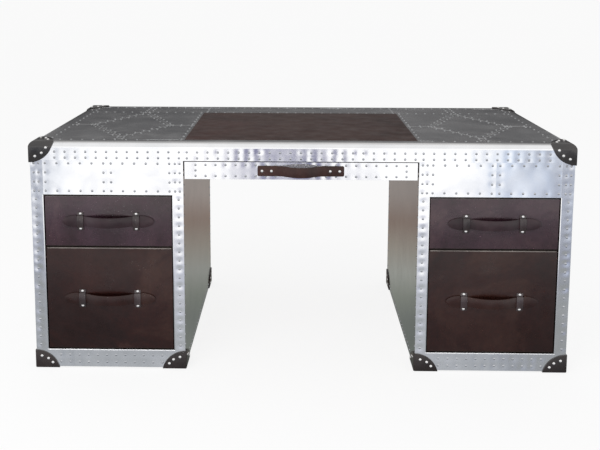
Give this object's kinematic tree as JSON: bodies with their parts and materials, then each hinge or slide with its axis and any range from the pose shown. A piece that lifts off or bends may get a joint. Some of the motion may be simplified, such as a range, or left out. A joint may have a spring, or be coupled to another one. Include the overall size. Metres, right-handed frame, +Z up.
{
  "type": "pedestal desk",
  "caption": "Pedestal writing desk clad in riveted polished aluminium, with a leather writing panel, leather-faced drawers, strap handles and nailed leather corner guards.",
  "frame": {"origin": "on the floor under the middle of the whole desk", "axes": "+X to the user's right along the width, -Y towards the user and the drawers' fronts, +Z up"},
  "size_m": [1.804, 0.9406, 0.787],
  "materials": {
    "aluminium": "polished sheet",
    "carcass_wood": "plain board",
    "drawer_wood": "oiled",
    "runner_wood": "waxed hardwood",
    "drawer_leather": "worn, waxed",
    "inset_leather": "worn, waxed",
    "guard_leather": "polished",
    "strap_leather": "waxed",
    "nail_metal": "bright domes"
  },
  "bodies": {
    "desk": {"desktop_board": "carcass_wood", "top_rim_frame": "carcass_wood", "top_edge_band": "aluminium", "top_left_sheet": "aluminium", "top_right_sheet": "aluminium", "top_back_sheet": "aluminium", "writing_leather": "inset_leather", "kneehole_back_rail": "carcass_wood", "kneehole_back_sheet": "aluminium", "left_outer_panel": "carcass_wood", "left_inner_panel": "carcass_wood", "left_back_panel": "carcass_wood", "left_floor_panel": "carcass_wood", "left_face_frame": "carcass_wood", "left_front_sheets": "aluminium", "left_side_sheets": "aluminium", "left_back_sheet": "aluminium", "left_drawer_runners": "runner_wood", "right_outer_panel": "carcass_wood", "right_inner_panel": "carcass_wood", "right_back_panel": "carcass_wood", "right_floor_panel": "carcass_wood", "right_face_frame": "carcass_wood", "right_front_sheets": "aluminium", "right_side_sheets": "aluminium", "right_back_sheet": "aluminium", "right_drawer_runners": "runner_wood", "centre_drawer_runners": "runner_wood", "top_corner_guards": "guard_leather", "pedestal_corner_guards": "guard_leather", "guard_nails": "nail_metal"},
    "left_upper_drawer": {"left_upper_drawer_face": "drawer_leather", "left_upper_drawer_front": "carcass_wood", "left_upper_drawer_box": "drawer_wood", "left_upper_drawer_strap": "strap_leather", "left_upper_drawer_keepers": "strap_leather", "left_upper_drawer_handle_nails": "nail_metal"},
    "left_lower_drawer": {"left_lower_drawer_face": "drawer_leather", "left_lower_drawer_front": "carcass_wood", "left_lower_drawer_box": "drawer_wood", "left_lower_drawer_strap": "strap_leather", "left_lower_drawer_keepers": "strap_leather", "left_lower_drawer_handle_nails": "nail_metal"},
    "right_upper_drawer": {"right_upper_drawer_face": "drawer_leather", "right_upper_drawer_front": "carcass_wood", "right_upper_drawer_box": "drawer_wood", "right_upper_drawer_strap": "strap_leather", "right_upper_drawer_keepers": "strap_leather", "right_upper_drawer_handle_nails": "nail_metal"},
    "right_lower_drawer": {"right_lower_drawer_face": "drawer_leather", "right_lower_drawer_front": "carcass_wood", "right_lower_drawer_box": "drawer_wood", "right_lower_drawer_strap": "strap_leather", "right_lower_drawer_keepers": "strap_leather", "right_lower_drawer_handle_nails": "nail_metal"},
    "centre_drawer": {"centre_drawer_face": "aluminium", "centre_drawer_front": "carcass_wood", "centre_drawer_box": "drawer_wood", "centre_drawer_strap": "strap_leather", "centre_drawer_handle_nails": "nail_metal"}
  },
  "joints": [
    {"name": "left_upper_slide", "type": "slide", "parent": "desk", "child": "left_upper_drawer", "axis": [0, -1, 0], "range_m": [0, 0.45]},
    {"name": "left_lower_slide", "type": "slide", "parent": "desk", "child": "left_lower_drawer", "axis": [0, -1, 0], "range_m": [0, 0.45]},
    {"name": "right_upper_slide", "type": "slide", "parent": "desk", "child": "right_upper_drawer", "axis": [0, -1, 0], "range_m": [0, 0.45]},
    {"name": "right_lower_slide", "type": "slide", "parent": "desk", "child": "right_lower_drawer", "axis": [0, -1, 0], "range_m": [0, 0.45]},
    {"name": "centre_slide", "type": "slide", "parent": "desk", "child": "centre_drawer", "axis": [0, -1, 0], "range_m": [0, 0.34]}
  ]
}
